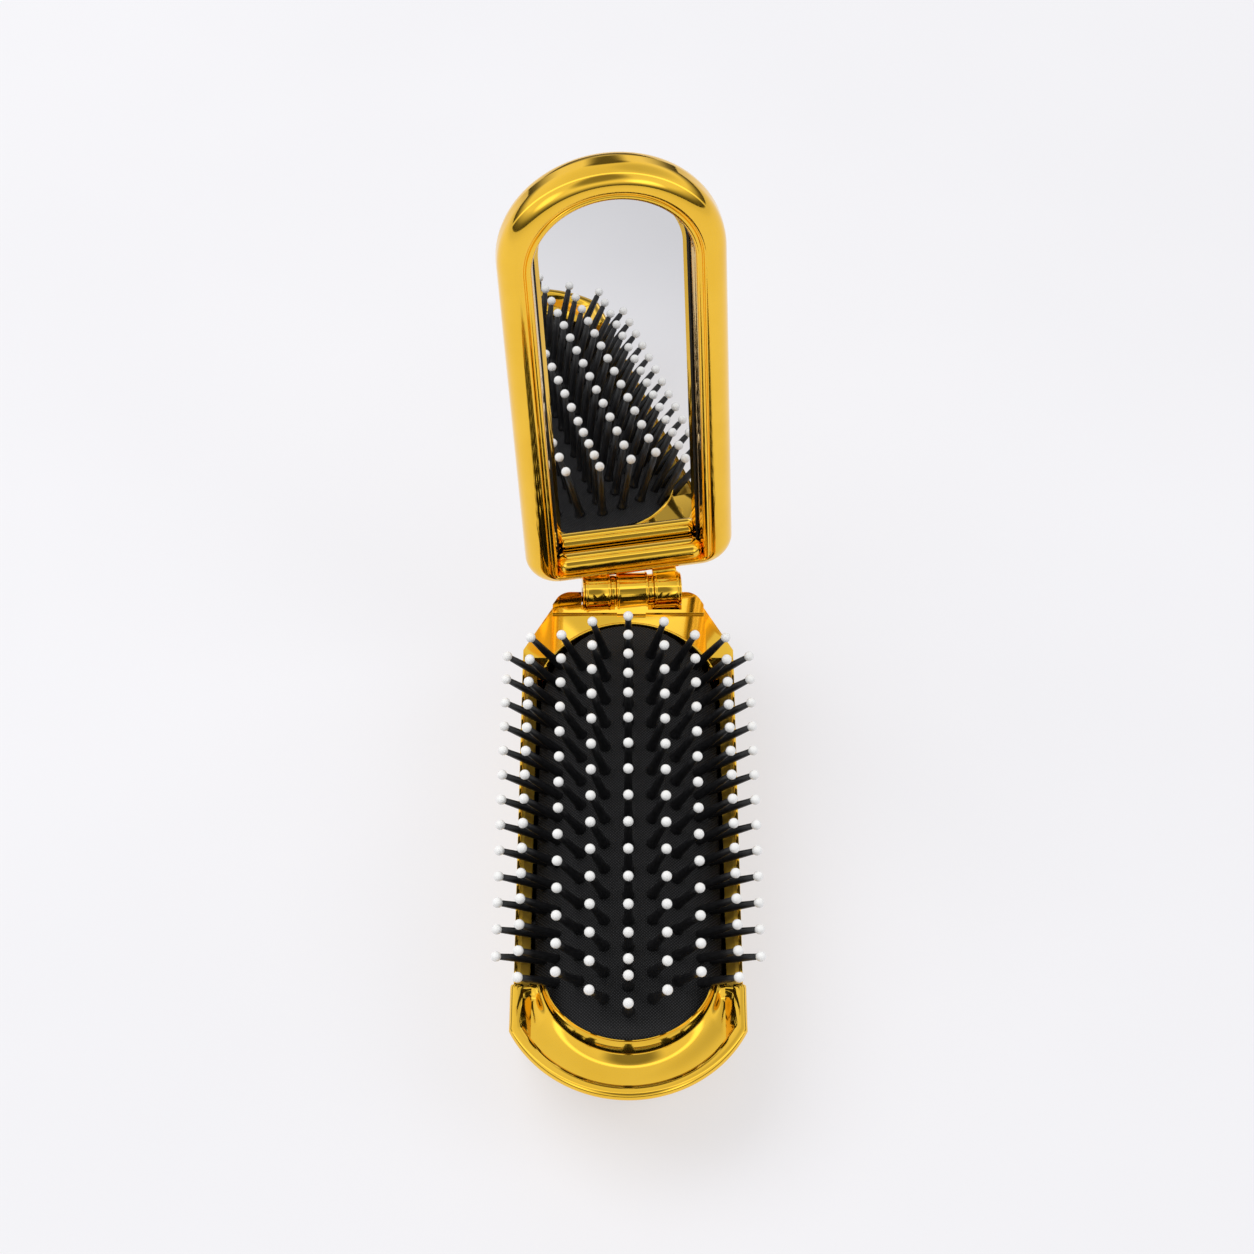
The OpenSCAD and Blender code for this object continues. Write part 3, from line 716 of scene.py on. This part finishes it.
def cap_section(station, share):
    """Points across the cap's top at one station, from its outline in to the pad's well."""
    kind, t = station
    drop, front = 1.0, 0.0                      # share of the panel's depth, rounded front edge
    if kind != "arc":
        drop = min(1.0, max(0.0, (-t / MM - 0.8) / 1.9))
        if t >= -0.6 * MM:
            front = (1 + t / (0.8 * MM)) ** 2 * 0.3 * MM
    crest, lip, well = (end_circle(y, r, share) for y, r in (
        (CREST_Y, CREST_R), (LIP_Y, LIP_R), (PAD_TAIL_Y, WELL_R)))

    outline = cap_point(station, 0, 0)
    path = [(outline, -CAP_ROLL - 0.1 * MM)]
    for k in range(7):
        a = math.pi / 2 * k / 6
        inset = CAP_ROLL * (1 - math.cos(a))
        path.append((cap_point(station, inset, inset), -CAP_ROLL * (1 - math.sin(a))))
    path += [(cap_point(station, d * MM, d * MM), h * MM) for d, h in CAP_RIM]

    inner = cap_point(station, 4.2 * MM, 3.1 * MM)
    path.append((inner, -0.5 * MM + (PANEL_FLOOR + 0.5 * MM) * drop))
    edge = on_circle(CREST_Y, crest, CREST_R + CREST_SECTION[0][0] * MM)
    for k in range(1, 8):
        f = k / 8
        bowl = PANEL_FLOOR * (1 - f ** 2.4) - 0.2 * MM * f
        path.append((inner.lerp(edge, f), bowl * drop - 0.35 * MM * (1 - drop)))

    path += [(on_circle(CREST_Y, crest, CREST_R + d * MM), h * MM) for d, h in CREST_SECTION]
    start, end = path[-1][0], on_circle(LIP_Y, lip, LIP_R + 0.42 * MM)
    deep = min(1.0, (start - end).length / (1.2 * MM))
    path += [(start.lerp(end, f), (h * deep - 0.22 * (1 - deep)) * MM)
             for f, h in GROOVE_SECTION]
    path += [(on_circle(LIP_Y, lip, LIP_R + d * MM), (h * max(deep, 0.4)) * MM)
             for d, h in LIP_SECTION]

    foot_y = max(outline.y, raked_y(outline.x)) if kind == "arc" else outline.y
    wall = on_circle(PAD_TAIL_Y, well, WELL_R)
    return [Vector((outline.x, foot_y, CAP_CUT_Z)),
            *(Vector((at.x, at.y, RIM_Z + h - front)) for at, h in path),
            *(Vector((wall.x, wall.y, RIM_Z + h * MM)) for h in (-1.1, -4.0))]


def cap_top():
    """Shaped top: a rolled rim, a sunk thumb panel with sloped ends, a crest and a groove."""
    stations = [("left", y * MM) for y in HORN_STEPS]
    stations += [("arc", i / 72) for i in range(73)]
    stations += [("right", y * MM) for y in reversed(HORN_STEPS)]
    rows = [cap_section(station, i / (len(stations) - 1)) for i, station in enumerate(stations)]
    bm = bmesh.new()
    grid = [[bm.verts.new(p) for p in row] for row in rows]
    for a, b in zip(grid, grid[1:]):
        for k in range(len(a) - 1):
            bm.faces.new((a[k], b[k], b[k + 1], a[k + 1]))
    # front walls of the two horns
    for row in (grid[0], grid[-1]):
        bm.faces.new(row)
    bmesh.ops.remove_doubles(bm, verts=bm.verts, dist=0.01 * MM)
    obj = new_object("tail_cap_top", bm, "gold_cap")
    obj.data.set_sharp_from_angle(angle=math.radians(32))
    return obj


def cap_body():
    """Walls of the cap below its shaped top, from the CAD node."""
    bm = bmesh.new()
    bm.from_mesh(frame["nodes"]["tail_cap"].data)
    bmesh.ops.remove_doubles(bm, verts=bm.verts, dist=0.002 * MM)
    geom = bm.verts[:] + bm.edges[:] + bm.faces[:]
    bmesh.ops.bisect_plane(bm, geom=geom, dist=1e-7, plane_co=(0, 0, CAP_CUT_Z),
                           plane_no=(0, 0, 1), clear_outer=True)
    bmesh.ops.dissolve_limit(bm, angle_limit=math.radians(1.0), verts=bm.verts, edges=bm.edges)
    obj = new_object("tail_cap_walls", bm, "gold_cap")
    obj.data.set_sharp_from_angle(angle=math.radians(28))
    return settle(obj, "tail_cap")


# ------------------------------------------------------------------ hinge and frame
AXIS_TURN = LID_JOINT_AXIS.to_track_quat("Z", "Y").to_matrix().to_4x4()


def on_axis(name, profile, slot, body):
    """Turns (radius, place along the hinge) points about the hinge axis."""
    bm = bmesh.new()
    lathe(bm, Matrix.Translation(LID_PIVOT) @ AXIS_TURN, profile, 64)
    obj = new_object(name, bm, slot)
    obj.data.set_sharp_from_angle(angle=math.radians(40))
    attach(obj, body)
    return obj


def flange(start, end, r):
    """Section of a ring with rounded edges."""
    edge, part = RING_EDGE, 0.3 * RING_EDGE
    return [(HINGE_PIN_R, start), (r - edge, start), (r - part, start + part),
            (r, start + edge), (r, end - edge), (r - part, end - part),
            (r - edge, end), (HINGE_PIN_R, end)]


def hinge_rings():
    """Rings at the ends of the knuckles and the washers between them."""
    proud = KNUCKLE_R + RING_PROUD
    for side in (-1, 1):
        for name, start, end, r, body in (
                ("middle_ring", MID_KNUCKLE - RING_W, MID_KNUCKLE, proud, "base"),
                ("knuckle", SIDE_START, SIDE_END, KNUCKLE_R, "lid"),
                ("inner_ring", SIDE_START, SIDE_START + RING_W, proud, "lid"),
                ("outer_ring", SIDE_END - RING_W, SIDE_END, proud, "lid"),
                ("end_washer", SIDE_END + RING_GAP, SIDE_END + 0.5 * MM, KNUCKLE_R - 0.2 * MM,
                 "lid"),
                ("washer", MID_KNUCKLE + RING_GAP, SIDE_START - RING_GAP, KNUCKLE_R - 0.4 * MM,
                 "hinge_pin")):
            ends = sorted((HINGE_SIDE + side * start, HINGE_SIDE + side * end))
            label = "left" if side < 0 else "right"
            on_axis(f"hinge_{name}_{label}", flange(*ends, r),
                    "gold_frame" if body == "base" else "gold_lid", body)


def well_bead():
    """Thin bright bead round the pad on the flat face at the hinge end."""
    r, start = 0.3 * MM, math.radians(24)
    path_r = WELL_R + 0.28 * MM
    bm = bmesh.new()
    rings = []
    for i in range(61):
        a = start + (math.pi - 2 * start) * i / 60
        out = Vector((math.cos(a), math.sin(a), 0))
        centre = Vector((0, PAD_HEAD_Y, FACE_Z)) + out * path_r
        rings.append([bm.verts.new(centre + out * r * math.cos(t) + Vector((0, 0, r * math.sin(t))))
                      for t in (math.tau * k / 12 for k in range(12))])
    for a, b in zip(rings, rings[1:]):
        for k in range(12):
            bm.faces.new((a[k], b[k], b[(k + 1) % 12], a[(k + 1) % 12]))
    bm.faces.new(rings[0])
    bm.faces.new(rings[-1])
    obj = new_object("well_bead", bm, "gold_frame")
    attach(obj, "base")


def side_walls(obj):
    """Takes the satin inner walls of the long sides off the frame, as a piece of their own."""
    bm = bmesh.new()
    bm.from_mesh(obj.data)
    bm.normal_update()

    def is_wall(face):
        c = face.calc_center_median()
        return (abs(c.x) > PAD_R + 0.4 * MM and c.y < PAD_HEAD_Y + 12 * MM
                and face.normal.x * c.x < -1e-6 and face.normal.z > 0.05
                and RIM_Z - 5.4 * MM < c.z < RIM_Z - 0.9 * MM)

    walls = bm.copy()
    bmesh.ops.delete(walls, geom=[f for f in walls.faces if not is_wall(f)], context="FACES")
    bmesh.ops.delete(bm, geom=[f for f in bm.faces if is_wall(f)], context="FACES")
    bm.to_mesh(obj.data)
    bm.free()
    mesh = bpy.data.meshes.new("side_walls")
    walls.to_mesh(mesh)
    walls.free()
    mesh.materials.append(satin_gold_material("gold_satin"))
    piece = bpy.data.objects.new("side_walls", mesh)
    bpy.context.scene.collection.objects.link(piece)
    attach(piece, "base")


def round_corners(bm):
    """Rounds the upright corners of the hinge end, seen from above."""
    corners = [e for e in bm.edges if (e.verts[0].co.xy - e.verts[1].co.xy).length < 0.05 * MM
               and e.calc_length() > 0.1 * MM and e.verts[0].co.y > 58 * MM
               and 13.5 * MM < abs(e.verts[0].co.x) < 15 * MM]
    bmesh.ops.bevel(bm, geom=corners, offset=1.9 * MM, segments=6, profile=0.5, affect="EDGES")


def shoulder_panels(obj):
    """Rounds the shoulders and sinks a small panel into the top of each."""
    bm = bmesh.new()
    bm.from_mesh(obj.data)
    round_corners(bm)
    bm.normal_update()
    tops = [f for f in bm.faces if f.normal.z > 0.99 and abs(f.calc_center_median().x) > 8 * MM
            and f.calc_center_median().z > RIM_Z - 0.05 * MM]
    bmesh.ops.inset_region(bm, faces=tops, thickness=0.75 * MM, depth=0.0)
    bmesh.ops.inset_region(bm, faces=tops, thickness=0.3 * MM, depth=-0.3 * MM)
    bm.to_mesh(obj.data)
    bm.free()


# ------------------------------------------------------------------ build
ring = lid_ring()
for piece in (lid_lugs(), lid_bar()):
    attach(piece, "lid")
settle(ring, "lid_frame")
polished("lid_back", 0.0, 40)
mirror_glass()
cushion()
pin_row(0, 1, "centre")
for k in range(1, 5):
    pin_row(k, -1, f"l{k}")
    pin_row(k, 1, f"r{k}")
base_top = polished("base_frame", 0.14 * MM)
shoulder_panels(base_top)
side_walls(base_top)
well_bead()
hinge_rings()
cap_body()
top = cap_top()
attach(top, "tail_slide")
polished("base_shell", 0.2 * MM)
polished("hinge_pin", 0.15 * MM)

for name, node in frame["nodes"].items():
    node.data.materials.clear()
    node.data.materials.append(MATERIALS[SLOT_OF[name]])

# ------------------------------------------------------------------ floor, light, camera
scene = bpy.context.scene
PAPER = (0.915, 0.905, 0.93, 1)
FLOOR_GLOW = 0.62
LAMP_TARGET = Vector((0, 0.02, 0.03))
# brightness seen by metal against the sine of the height above the horizon
HEIGHT_STOPS = [(0.0, 0.06), (0.10, 0.18), (0.34, 1.0), (0.55, 1.0), (1.0, 0.86)]
# (direction, full change inside this angle, none outside that, change of brightness)
SPOTS = [((0.05, -0.66, 0.75), 10, 24, 0.30), ((-0.04, 0.80, 0.60), 8, 17, 0.12),
         ((0.53, 0.30, 0.79), 8, 34, 0.74), ((0.50, -0.80, 0.35), 4, 13, 1.9),
         ((-0.50, -0.74, 0.42), 5, 14, 1.7)]
# the strip lies across this direction; its angles mean the same as those of the spots
STRIP_NORMAL = (0.0, 0.94, 0.34)
STRIP_INNER, STRIP_OUTER, STRIP_LEVEL = 1.5, 5.0, 0.8
CAMERA_TILT = math.radians(35)
CAMERA_DISTANCE = 0.545
CAMERA_AIM = Vector((-0.25 * MM, 49.6 * MM, RIM_Z))


def floor():
    """Pale paper floor: partly self-bright, so that shadows on it stay soft and faint."""
    s = Shader("floor_paper").set(Metallic=0.0, Roughness=0.9, Specular_IOR_Level=0.0)
    s.bsdf.inputs["Emission Color"].default_value = PAPER
    s.bsdf.inputs["Emission Strength"].default_value = FLOOR_GLOW
    s.link(s.ramp(s.noise(8.0), [(0.3, (0.30, 0.30, 0.31)), (0.7, (0.32, 0.32, 0.33))]),
           s.bsdf.inputs["Base Color"])
    bm = bmesh.new()
    bmesh.ops.create_grid(bm, x_segments=1, y_segments=1, size=8.0)
    mesh = bpy.data.meshes.new("floor")
    bm.to_mesh(mesh)
    bm.free()
    mesh.materials.append(s.mat)
    obj = bpy.data.objects.new("floor", mesh)
    obj.location.z = -0.0002
    scene.collection.objects.link(obj)


def area_light(name, location, size, power):
    """Square lamp aimed at the brush, hidden from reflections."""
    data = bpy.data.lights.new(name, "AREA")
    data.energy = power
    data.shape = "SQUARE"
    data.size = size
    obj = bpy.data.objects.new(name, data)
    obj.location = location
    obj.rotation_euler = (LAMP_TARGET - Vector(location)).to_track_quat("-Z", "Y").to_euler()
    obj.visible_glossy = False
    scene.collection.objects.link(obj)


def world():
    """Even light; metal sees a bright studio, dark at the horizon, with a strip and soft spots."""
    w = bpy.data.worlds.new("studio")
    scene.world = w
    w.use_nodes = True
    nodes, links = w.node_tree.nodes, w.node_tree.links

    def background(strength, color=(0.95, 0.955, 0.97, 1)):
        node = nodes.new("ShaderNodeBackground")
        node.inputs["Color"].default_value = color
        node.inputs["Strength"].default_value = strength
        return node

    def facing(direction):
        node = nodes.new("ShaderNodeVectorMath")
        node.operation = "DOT_PRODUCT"
        node.inputs[1].default_value = Vector(direction).normalized()
        links.new(coords.outputs["Generated"], node.inputs[0])
        return node.outputs["Value"]

    def eased(value, start, end, low, high):
        node = nodes.new("ShaderNodeMapRange")
        node.interpolation_type = "SMOOTHSTEP"
        for key, number in (("From Min", start), ("From Max", end),
                            ("To Min", low), ("To Max", high)):
            node.inputs[key].default_value = number
        links.new(value, node.inputs["Value"])
        return node.outputs["Result"]

    coords = nodes.new("ShaderNodeTexCoord")
    split = nodes.new("ShaderNodeSeparateXYZ")
    links.new(coords.outputs["Generated"], split.inputs["Vector"])
    height = nodes.new("ShaderNodeValToRGB")
    for i, (pos, level) in enumerate(HEIGHT_STOPS):
        element = height.color_ramp.elements[i] if i < 2 else height.color_ramp.elements.new(pos)
        element.position = pos
        element.color = (level, level, level, 1)
    links.new(split.outputs["Z"], height.inputs["Fac"])
    level = height.outputs["Color"]
    for direction, inner, outer, change in SPOTS:
        spot = eased(facing(direction), math.cos(math.radians(outer)),
                     math.cos(math.radians(inner)), 1.0, change)
        level = math_node(nodes, links, "MULTIPLY", level, spot)
    # a long narrow lamp box across the top
    off_strip = math_node(nodes, links, "ABSOLUTE", facing(STRIP_NORMAL), 0.0)
    strip = eased(off_strip, math.sin(math.radians(STRIP_OUTER)),
                  math.sin(math.radians(STRIP_INNER)), 0.0, STRIP_LEVEL)
    level = math_node(nodes, links, "ADD", level, strip)

    seen = background(1.0)
    links.new(level, seen.inputs["Strength"])
    lit = background(0.62)
    pale = background(0.82, PAPER)
    path = nodes.new("ShaderNodeLightPath")
    glossy = nodes.new("ShaderNodeMixShader")
    links.new(path.outputs["Is Glossy Ray"], glossy.inputs["Fac"])
    links.new(lit.outputs["Background"], glossy.inputs[1])
    links.new(seen.outputs["Background"], glossy.inputs[2])
    mix = nodes.new("ShaderNodeMixShader")
    links.new(path.outputs["Is Camera Ray"], mix.inputs["Fac"])
    links.new(glossy.outputs["Shader"], mix.inputs[1])
    links.new(pale.outputs["Background"], mix.inputs[2])
    links.new(mix.outputs["Shader"], nodes["World Output"].inputs["Surface"])


def camera():
    """The photo's view, looking down at the brush from the tail's side."""
    data = bpy.data.cameras.new("camera")
    data.sensor_width = 36.0
    data.lens = 73.4
    data.clip_start = 0.01
    obj = bpy.data.objects.new("camera", data)
    back = Vector((0, -math.sin(CAMERA_TILT), math.cos(CAMERA_TILT)))
    obj.location = CAMERA_AIM + back * CAMERA_DISTANCE
    obj.rotation_euler = (CAMERA_TILT, 0, 0)
    scene.collection.objects.link(obj)
    scene.camera = obj


floor()
world()
area_light("key", (-0.42, 0.22, 0.85), 0.7, 5.2)
area_light("fill", (0.7, -0.1, 0.7), 0.5, 1.6)
camera()
scene.view_settings.view_transform = "Standard"
